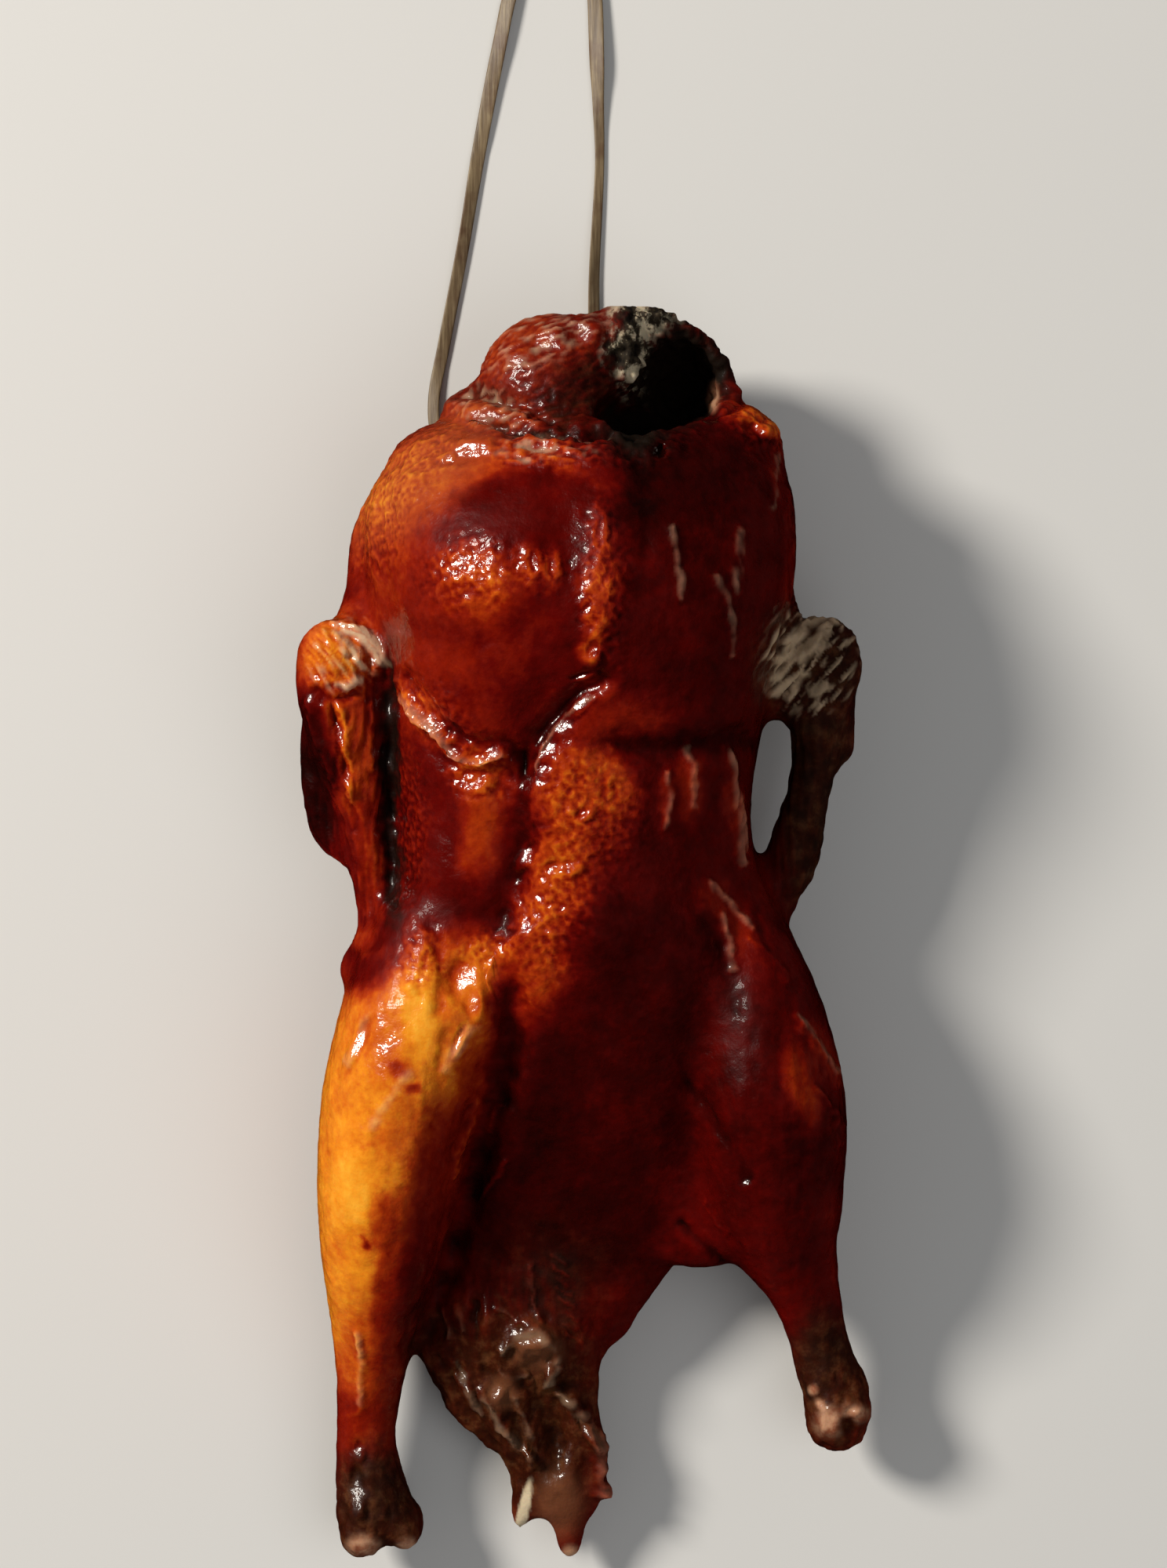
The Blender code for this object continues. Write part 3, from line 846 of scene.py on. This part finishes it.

# Groups of zones for the other finishes, painted shade among them, each group with its strength and the
# softness of its edges.
CHAR = [(1, 0.35, [((826, 406), (44, 27)), ((806, 455), (27, 50), -6)])]
# Soot on the left leg's end, and soot with painted shade on the right leg, the right wing and the top of the
# tail.
SOOT_AND_SHADE = [(1, 0.6, [((480, 1900), (50, 60)), ((1040, 1730), (30, 70)), ((1052, 1010), (60, 170)),
                  ((1066, 860), (30, 60)), ((706, 1640), (40, 50))])]
SOOT_SHARE, SOOT_SPOTS = 0.42, [(5, 54, 0.4)]
# The throat's hollow, painted black as shade, most where it lies low.
PIT = [(1, 0.3, [((868, 482), (62, 72)), ((816, 552), (62, 40), -20)])]
PIT_CORE = [(1, 0.5, [((862, 480), (44, 56)), ((815, 545), (46, 30), -20)])]
PIT_BELOW = (62, 72)
# Painted shade along the gap between the left wing and the body: its line, strength and width.
WING_GAP = [(494, 840), (499, 900), (500, 1000), (500, 1100), (504, 1170)]
GAP_SHADE, GAP_WIDTH = 0.6, 2.4
QUILL = [(1, 0.2, [((666, 1934), (7, 46), 12)])]
BONE = [(1, 0.6, [((463, 1972), (18, 13)), ((520, 1974), (13, 11)), ((1058, 1814), (17, 17)),
                  ((1088, 1803), (17, 11)), ((1047, 1793), (5, 10), -35), ((1037, 1773), (6, 6)),
                  ((728, 1986), (11, 13)), ((909, 506), (7, 16))])]
MARROW = [(1, 0.4, [((1081, 1818), (10, 13))])]
BLUSHED = [(0.7, 0.6, [((714, 1920), (28, 40)), ((684, 1722), (30, 24)), ((640, 1776), (18, 20))]),
           (0.4, 0.6, [((540, 602), (112, 46), -42)])]
DULL = [(1, 0.4, [((1040, 850), (72, 76)), ((1046, 1020), (54, 160)), ((480, 1935), (66, 84)),
                  ((1060, 1770), (56, 90)), ((650, 1806), (130, 140), -20)]),
        (0.25, 0.8, [((690, 1660), (90, 80))]),
        (0.3, 0.4, NECK_SKIN)]
MATTE = [(0.55, 0.4, NECK_SKIN + COLLAR),
         (1, 0.7, [((514, 1230), (26, 66), 12), ((548, 1166), (34, 24)), ((944, 1290), (30, 80)),
                   ((604, 672), (70, 24), -12), ((766, 700), (24, 60)), ((400, 800), (14, 20)),
                   ((640, 1184), (16, 12))])]
MATTE_WHERE_DULL = 0.33
PALE_STRENGTH, PALE_FROM = 0.45, 0.15
PALE_ANYWHERE = 0.48


def glaze_tone(skin):
    """How light the glaze is, with painted light and shade, and where it is pimply."""
    under = 1 - step_smoothly(*UNDER_FROM, skin.normals[:, 2])
    tone = TONE + skin.relief(TONE_BLOTCHES)
    skin.wander(*PATCH_WANDER)
    for light, x, y, wide, high, *edge in PATCHES:
        tone += (light - tone) * skin.inside((x, y), (wide, high), *edge)
    pimply = skin.inside_any(BUMPY, BUMPY_SOFTNESS)
    # Painted light on peaks and crests and painted shade in hollows and creases, partly thinner and gathered
    # glaze.
    peaks = np.einsum("ij,ij->i", skin.normals, skin.places - skin.around(skin.places))
    tone += np.clip(peaks * LIGHTER_ON_PEAKS * (1 + pimply), -MOST_LIGHTER, MOST_LIGHTER)
    tone += LIGHTER_ON_CREST * skin.crest - DARKER_IN_VALLEY * skin.valley
    tone += (UNDER_TONE + skin.relief(UNDER_BLOTCHES) - tone) * under
    return tone, pimply


def blackened(skin):
    """The charred crust, the painted shade that blackens the throat and the gap behind the left wing, and the
    soot, partly painted shade.
    """
    skin.wander(*BLACK_WANDER)
    char = skin.strongest(CHAR)
    # Soot and painted shade.
    soot = skin.strongest(SOOT_AND_SHADE) * np.clip(SOOT_SHARE + skin.relief(SOOT_SPOTS), 0, 1)
    low = 1 - step_smoothly(*PIT_BELOW, skin.places[:, 2])
    # Painted shade in the throat's hollow.
    throat = np.maximum(skin.strongest(PIT) * low, skin.strongest(PIT_CORE))
    # Painted shade in the gap behind the left wing.
    gap = GAP_SHADE * bell(skin.from_line(WING_GAP), GAP_WIDTH)
    skin.refresh()
    return char, np.max([throat, soot, gap], axis=0)


def paint(skin):
    """Gives every point its share of each finish, painted light and shade among them."""
    tone, pimply = glaze_tone(skin)
    char, throat = blackened(skin)
    dull = skin.strongest(DULL)
    lit = np.max([dull, skin.inside_any(ELBOWS, SOFT_EDGE), np.full(len(dull), PALE_ANYWHERE)], axis=0)
    finishes_and_painted_light = {
        "tone": tone,
        "pimply": pimply,
        "char": char,
        # Painted shade in the throat and the wing gap, and soot.
        "throat": throat,
        "dull": dull,
        "matte": np.maximum(skin.strongest(MATTE), MATTE_WHERE_DULL * dull),
        # Pale skin and painted highlights.
        "pale": np.clip(PALE_STRENGTH * skin.pale - PALE_FROM, 0, 1) * lit,
        "blush": skin.strongest(BLUSHED),
        "bone": skin.strongest(BONE) * (1 - skin.strongest(MARROW)),
        "cream": skin.strongest(QUILL),
    }
    for name, values in finishes_and_painted_light.items():
        layer = skin.obj.data.attributes.new(name, "FLOAT", "POINT")
        layer.data.foreach_set("value", np.clip(values, 0, 1).astype(np.float32))


class Finish:
    """Short calls for building a material."""

    def __init__(self, name):
        self.material = bpy.data.materials.new(name)
        self.material.use_nodes = True
        self.tree = self.material.node_tree
        self.shader = self.tree.nodes["Principled BSDF"]
        self.place = self.tree.nodes.new("ShaderNodeTexCoord").outputs["Object"]

    def set(self, **values):
        for name, value in values.items():
            self.shader.inputs[name.replace("_", " ")].default_value = value

    def wire(self, source, target):
        self.tree.links.new(source, target)

    def feed(self, socket, value):
        if isinstance(value, tuple):
            socket.default_value = (*value, 1)[: len(socket.default_value)]
        elif isinstance(value, (int, float)):
            socket.default_value = value
        else:
            self.wire(value, socket)

    def read(self, name):
        node = self.tree.nodes.new("ShaderNodeAttribute")
        node.attribute_name = name
        return node.outputs["Fac"]

    def add(self, kind, output, **inputs):
        """One output of a new node, whose inputs are numbers, tuples or outputs of other nodes."""
        node = self.tree.nodes.new("ShaderNode" + kind)
        for name, value in inputs.items():
            self.feed(node.inputs[name.replace("_", " ")], value)
        return node.outputs[output]

    def speckle(self, scale, detail=3.0, roughness=0.55, stretch=(1, 1, 1)):
        place = self.add("Mapping", "Vector", Vector=self.place, Scale=stretch)
        return self.add("TexNoise", "Fac", Vector=place, Scale=scale, Detail=detail, Roughness=roughness)

    def cells(self, scale):
        return self.add("TexVoronoi", "Distance", Vector=self.place, Scale=scale)

    def work(self, kind, a, b=0.0):
        node = self.tree.nodes.new("ShaderNodeMath")
        node.operation = kind
        self.feed(node.inputs[0], a)
        self.feed(node.inputs[1], b)
        return node.outputs[0]

    def times(self, a, b):
        return self.work("MULTIPLY", a, b)

    def plus(self, a, b):
        return self.work("ADD", a, b)

    def minus(self, a, b):
        return self.work("SUBTRACT", a, b)

    def either_way(self, value, size):
        """A noise of 0 to 1 as one of the given size about 0."""
        return self.times(self.plus(value, -0.5), size)

    def spread(self, value, low, high, to_low=0.0, to_high=1.0):
        ends = {"From_Min": low, "From_Max": high, "To_Min": to_low, "To_Max": to_high}
        return self.add("MapRange", "Result", Value=value, **ends)

    def ramp(self, value, stops):
        node = self.tree.nodes.new("ShaderNodeValToRGB")
        ramp = node.color_ramp
        while len(ramp.elements) < len(stops):
            ramp.elements.new(0.5)
        for element, (at, colour) in zip(ramp.elements, stops):
            element.position = at
            element.color = (*colour, 1)
        self.wire(value, node.inputs["Fac"])
        return node.outputs["Color"]

    def mix(self, share, a, b):
        node = self.tree.nodes.new("ShaderNodeMix")
        node.data_type = "RGBA"
        self.feed(node.inputs["Factor"], share)
        self.feed(node.inputs["A"], a)
        self.feed(node.inputs["B"], b)
        return node.outputs["Result"]

    def bump(self, height, strength, distance, **under):
        return self.add("Bump", "Normal", Height=height, Strength=strength, Distance=distance, **under)


GLAZE = [
    (0.00, (0.010, 0.0008, 0.0005)),
    (0.14, (0.040, 0.0008, 0.0005)),
    (0.28, (0.106, 0.0016, 0.0007)),
    (0.42, (0.230, 0.0088, 0.0014)),
    (0.56, (0.420, 0.0400, 0.0030)),
    (0.70, (0.630, 0.125, 0.0065)),
    (0.84, (0.830, 0.270, 0.0120)),
    (1.00, (0.930, 0.420, 0.0350)),
]
DULL_SKIN = [(0.30, (0.016, 0.004, 0.0015)), (0.50, (0.040, 0.010, 0.003)), (0.70, (0.115, 0.042, 0.014))]
# The crust's char from black to grey; its palest grey is painted highlight.
CHAR_AND_HIGHLIGHT = [(0.34, (0.006, 0.004, 0.003)), (0.48, (0.035, 0.025, 0.015)), (0.58, (0.600, 0.500, 0.340))]
FLESH = [(0.36, (0.260, 0.080, 0.038)), (0.60, (0.520, 0.270, 0.155))]
BLUSH = (0.240, 0.088, 0.038)
# The colour of pale skin and of painted highlights.
PALE = (0.620, 0.440, 0.275)
# Black for the painted shade in the throat and the wing gap, and for soot.
SHADE_AND_SOOT_BLACK = (0.008, 0.004, 0.002)
CREAM = (0.620, 0.500, 0.330)
PORE_SPACING = 340

# Noise in the skin's material: scale, detail, roughness and, for the crust, stretch.
BLOTCHES = (75, 4, 0.6)
GRAIN = (330, 3, 0.6)
DULL_BLOTCHES = (150, 4, 0.65)
CRUST_GRAIN = (160, 5, 0.65, (1, 0.7, 1))
FLESH_SCALE = 190
GLOSS_GRAIN = (160, 3, 0.6)
LARGE_BUMPS = (230, 3, 0.6)
FINE_BUMPS = (900, 2, 0.5)
COAT = 0.6


def skin_colour(m):
    """The glaze with its painted light and shade, and over it the dull places, the pale places and painted
    highlights, the charred crust with painted highlights, the black of painted shade and soot, and the bare
    places.
    """
    tone = m.read("tone")
    pores = m.times(m.spread(m.cells(PORE_SPACING), 0.0, 0.38, 1, 0), m.read("pimply"))
    shade = m.plus(tone, m.either_way(m.speckle(*BLOTCHES), 0.30))
    shade = m.plus(shade, m.either_way(m.speckle(*GRAIN), m.spread(tone, 0.25, 0.6, 0.08, 0.23)))
    shade = m.minus(shade, m.times(pores, m.spread(tone, 0.3, 0.6, 0.02, 0.17)))
    colour = m.ramp(shade, GLAZE)
    colour = m.mix(m.times(m.read("dull"), 0.85), colour, m.ramp(m.speckle(*DULL_BLOTCHES), DULL_SKIN))
    colour = m.mix(m.times(m.read("blush"), 0.7), colour, BLUSH)
    # Pale skin and painted highlights on ridges and wrinkles and on the neck's lit side.
    colour = m.mix(m.times(m.read("pale"), 0.9), colour, PALE)
    # The charred crust, whose palest grey is painted highlight.
    colour = m.mix(m.read("char"), colour, m.ramp(m.speckle(*CRUST_GRAIN), CHAR_AND_HIGHLIGHT))
    # The black of painted shade in the throat and the wing gap, and of soot.
    colour = m.mix(m.read("throat"), colour, SHADE_AND_SOOT_BLACK)
    colour = m.mix(m.read("bone"), colour, m.ramp(m.speckle(FLESH_SCALE), FLESH))
    colour = m.mix(m.read("cream"), colour, CREAM)
    m.wire(colour, m.shader.inputs["Base Color"])


def skin_gloss(m):
    """A glossy coat that wears off where the skin is matte, charred or black."""
    rough = m.spread(m.speckle(*GLOSS_GRAIN), 0.3, 0.7, 0.20, 0.36)
    rough = m.plus(rough, m.times(m.plus(m.read("char"), m.read("throat")), 0.4))
    rough = m.plus(rough, m.times(m.read("matte"), 0.25))
    m.wire(rough, m.shader.inputs["Roughness"])
    burnt = m.work("MAXIMUM", m.read("char"), m.read("throat"))
    weight = m.minus(COAT, m.times(burnt, COAT))
    weight = m.minus(weight, m.times(m.read("matte"), 0.9 * COAT))
    m.wire(weight, m.shader.inputs["Coat Weight"])
    m.set(Specular_IOR_Level=0.10, Coat_Roughness=0.08, Coat_IOR=1.5)
    m.set(Subsurface_Weight=0.08, Subsurface_Radius=(1.0, 0.2, 0.05), Subsurface_Scale=0.003)


def skin_bumps(m):
    """Fine bumps everywhere, with pimples where they are crowded. The coat lies smooth over the finest."""
    crowded = m.spread(m.read("pimply"), 0, 1, 0.08, 0.6)
    large = m.bump(m.speckle(*LARGE_BUMPS), strength=0.45, distance=0.0010)
    pimples = m.bump(m.cells(PORE_SPACING), strength=crowded, distance=0.0007, Normal=large)
    fine = m.bump(m.speckle(*FINE_BUMPS), strength=0.35, distance=0.0003, Normal=pimples)
    m.wire(fine, m.shader.inputs["Normal"])
    m.wire(pimples, m.shader.inputs["Coat Normal"])


def skin_material():
    m = Finish("roast_skin")
    skin_colour(m)
    skin_gloss(m)
    skin_bumps(m)
    return m.material


def make_duck():
    skin = copy_skin()
    sculpt(skin)
    for _ in range(2):
        catch_light(skin)
    roughen(skin)
    keep_in_box(skin)
    paint(skin)
    piece = skin.obj
    piece.data.materials.append(skin_material())
    piece.data.shade_smooth()
    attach(piece, "root")
    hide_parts("duck")


# The cord: two strands of one flat strip of fibre, each from under the back to the knot. A route is
# (across, up the picture, width of the strip), and a twist is (size, turns, start). Near the knot the strands
# climb to its height.
STRIP_THICK = 1.0
STRIP_SIDES = 16
STRIP_STEP = 1.6
STRIP_DISH = 0.15
STRAND_HEIGHT = 2.2
CLIMB_FROM, CLIMB = 371, 0.5
LEFT_STRAND = [(-34, 148, 4.2), (-46, 165, 4.2), (-54, 181, 4.4), (-56, 197, 4.4), (-52, 219, 4.6),
               (-45, 255, 4.8), (-39, 291, 5.2), (-32, 327, 5.6), (-27, 349, 5.6), (-19, 364, 4.6),
               (-12, 373, 3.6), (-9.5, 378, 3.0)]
RIGHT_STRAND = [(-2, 160, 4.2), (0, 178, 4.4), (2, 196, 4.4), (3, 214, 4.6), (3, 243, 4.4), (5, 283, 3.4),
                (4.5, 307, 4.4), (4.0, 323, 6.0), (3, 349, 5.6), (0, 364, 4.6), (-5, 373, 3.6),
                (-7.5, 378, 3.0)]
LEFT_TWISTS = ((0.32, 1.5, 0.4), (0.06, 5.0, 1.0))
RIGHT_TWISTS = ((0.40, 1.2, 2.0), (0.08, 4.5, 0.2))
FIBRE = [(0.30, (0.10, 0.060, 0.028)), (0.52, (0.18, 0.122, 0.062)), (0.74, (0.29, 0.215, 0.118))]
FIBRE_GRAIN = (1100, 4, 0.6, (1, 0.05, 1))
STAIN, STAIN_BLOTCHES = (0.10, 0.045, 0.020), (75, 3, 0.6)
KNOT_MIDDLE = Vector((-8.5, 380.5, 5.2))
KNOT_REACH = Vector((1.75, 1.25, 2.9))
KNOT_STRIP = (1.7, 1.0)
KNOT_POINTS = 72
TAIL_STEP = 1.0
TAIL_THIN, TAIL_NARROWS = 0.5, 0.35
TAILS = [
    [(-13.5, 381.0, 4.5), (-17.0, 379.0, 2.6), (-20.5, 374.5, 1.4), (-22.0, 369.0, 1.0)],
    [(-4.0, 381.5, 4.5), (0.0, 381.5, 2.8), (4.0, 379.0, 1.5), (6.5, 374.5, 1.0)],
]


def cord_material():
    m = Finish("cord_fibre")
    fibres = m.speckle(*FIBRE_GRAIN)
    stain = m.times(m.spread(m.speckle(*STAIN_BLOTCHES), 0.52, 0.68), 0.7)
    m.wire(m.mix(stain, m.ramp(fibres, FIBRE), STAIN), m.shader.inputs["Base Color"])
    m.set(Roughness=0.5)
    m.wire(m.bump(fibres, strength=0.5, distance=0.0003), m.shader.inputs["Normal"])
    return m.material


def add_strip(form, line, across, through, halves):
    """A closed flat strip along the line; each place has its own two directions and half sizes."""
    rings = []
    for place, wide, thick, (half, deep) in zip(line, across, through, halves):
        ring = []
        for i in range(STRIP_SIDES):
            angle = math.tau * i / STRIP_SIDES
            flat = math.copysign(abs(math.cos(angle)) ** 0.5, math.cos(angle)) * half
            rise = math.copysign(abs(math.sin(angle)) ** 0.8, math.sin(angle)) * deep
            dish = STRIP_DISH * deep * (1 - (flat / half) ** 2)
            ring.append(form.verts.new((place + wide * flat + thick * (rise - dish)) * MM))
        rings.append(ring)
    for low, high in zip(rings, rings[1:]):
        for i in range(STRIP_SIDES):
            j = (i + 1) % STRIP_SIDES
            form.faces.new((low[i], low[j], high[j], high[i]))
    form.faces.new(rings[0])
    form.faces.new(rings[-1])


def finish_strip(name, form, finish):
    bmesh.ops.recalc_face_normals(form, faces=form.faces)
    strip = object_of(name, form)
    strip.data.materials.append(finish)
    strip.data.shade_smooth()
    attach(strip, "root")
    return strip


def make_strand(name, route, twists, finish):
    """A flat strip that turns slowly about its own line and lies on the floor."""
    rows = smooth_line(route, STRIP_STEP)
    middles = [Vector((x, y, STRAND_HEIGHT)) for x, y, _ in rows]
    places, across, through, halves = [], [], [], []
    last = len(rows) - 1
    for k, (x, y, width) in enumerate(rows):
        forward = (middles[min(k + 1, last)] - middles[max(k - 1, 0)]).normalized()
        side = forward.cross(Vector((0, 0, 1))).normalized()
        twist = sum(size * math.sin(turns * k / last * math.tau + start) for size, turns, start in twists)
        wide = side * math.cos(twist) + side.cross(forward) * math.sin(twist)
        lift = abs(math.sin(twist)) * width / 2 + STRIP_THICK
        rise = max(0, y - CLIMB_FROM) * CLIMB
        places.append(Vector((x, y, lift + rise)))
        across.append(wide)
        through.append(wide.cross(forward))
        halves.append((width / 2, STRIP_THICK / 2))
    form = bmesh.new()
    add_strip(form, places, across, through, halves)
    path = [place * MM for place in middles]
    length = sum((b - a).length for a, b in zip(path, path[1:]))
    return finish_strip(name, form, finish), path, length


def knot_line():
    """One closed turn of a trefoil knot."""
    line = []
    for k in range(KNOT_POINTS):
        t = math.tau * k / KNOT_POINTS
        x = math.sin(t) + 2 * math.sin(2 * t)
        y = math.cos(t) - 2 * math.cos(2 * t)
        line.append(KNOT_MIDDLE + Vector((x, y, -math.sin(3 * t))) * KNOT_REACH)
    line.append(line[0])
    return line


def add_knot_strip(form, route, is_tail):
    """Lays the strip along the knot, facing out of it, or flat along a cut end that narrows and thins."""
    last = len(route) - 1
    across, through, halves = [], [], []
    for k, place in enumerate(route):
        forward = (route[min(k + 1, last)] - route[max(k - 1, 0)]).normalized()
        out = Vector((0, 0, 1)) if is_tail else (place - KNOT_MIDDLE).normalized()
        wide = forward.cross(out).normalized()
        across.append(wide)
        through.append(wide.cross(forward))
        narrow = 1 - TAIL_NARROWS * k / last if is_tail else 1
        halves.append((KNOT_STRIP[0] * narrow, KNOT_STRIP[1] * (TAIL_THIN if is_tail else 1)))
    add_strip(form, route, across, through, halves)


def make_knot(finish):
    """The two strands tied in a small tight knot, with their cut ends beside it."""
    form = bmesh.new()
    add_knot_strip(form, knot_line(), False)
    for tail in TAILS:
        add_knot_strip(form, [Vector(place) for place in smooth_line(tail, TAIL_STEP)], True)
    return finish_strip("knot", form, finish)


def make_cords():
    finish = cord_material()
    knot = make_knot(finish)
    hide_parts("cord_knot")
    strands = (("strand_left", "cord_left", LEFT_STRAND, LEFT_TWISTS),
               ("strand_right", "cord_right", RIGHT_STRAND, RIGHT_TWISTS))
    for name, node, route, twists in strands:
        strand, path, length = make_strand(name, route, twists, finish)
        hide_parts(node)


def make_floor():
    form = bmesh.new()
    bmesh.ops.create_grid(form, x_segments=1, y_segments=1, size=FLOOR_HALF)
    floor = object_of("floor", form)
    floor.location.z = -FLOOR_DROP
    m = Finish("floor")
    m.set(Base_Color=(*FLOOR_COLOUR, 1), Roughness=0.8)
    floor.data.materials.append(m.material)
    floor.visible_glossy = False


def make_light(name, place, size, power, colour, glossy):
    data = bpy.data.lights.new(name, "AREA")
    data.shape = "DISK"
    data.size = size
    data.energy = power
    data.color = colour
    light = link(bpy.data.objects.new(name, data))
    light.location = place
    light.rotation_euler = (LIT_MIDDLE - place).to_track_quat("-Z", "Y").to_euler()
    light.visible_glossy = glossy


def make_lights():
    make_light("key", KEY_PLACE, size=0.85, power=112, colour=(1, 0.95, 0.87), glossy=True)
    make_light("fill", FILL_PLACE, size=2.4, power=15, colour=(0.96, 0.98, 1), glossy=False)
    world = bpy.data.worlds.new("world")
    world.use_nodes = True
    background = world.node_tree.nodes["Background"]
    background.inputs["Color"].default_value = (1, 1, 1, 1)
    background.inputs["Strength"].default_value = WORLD_STRENGTH
    world.cycles_visibility.glossy = False
    bpy.context.scene.world = world


def main():
    scene = bpy.context.scene
    scene.view_settings.view_transform = "Standard"
    scene.view_settings.look = "None"
    make_camera()
    make_cords()
    make_duck()
    make_floor()
    make_lights()


main()
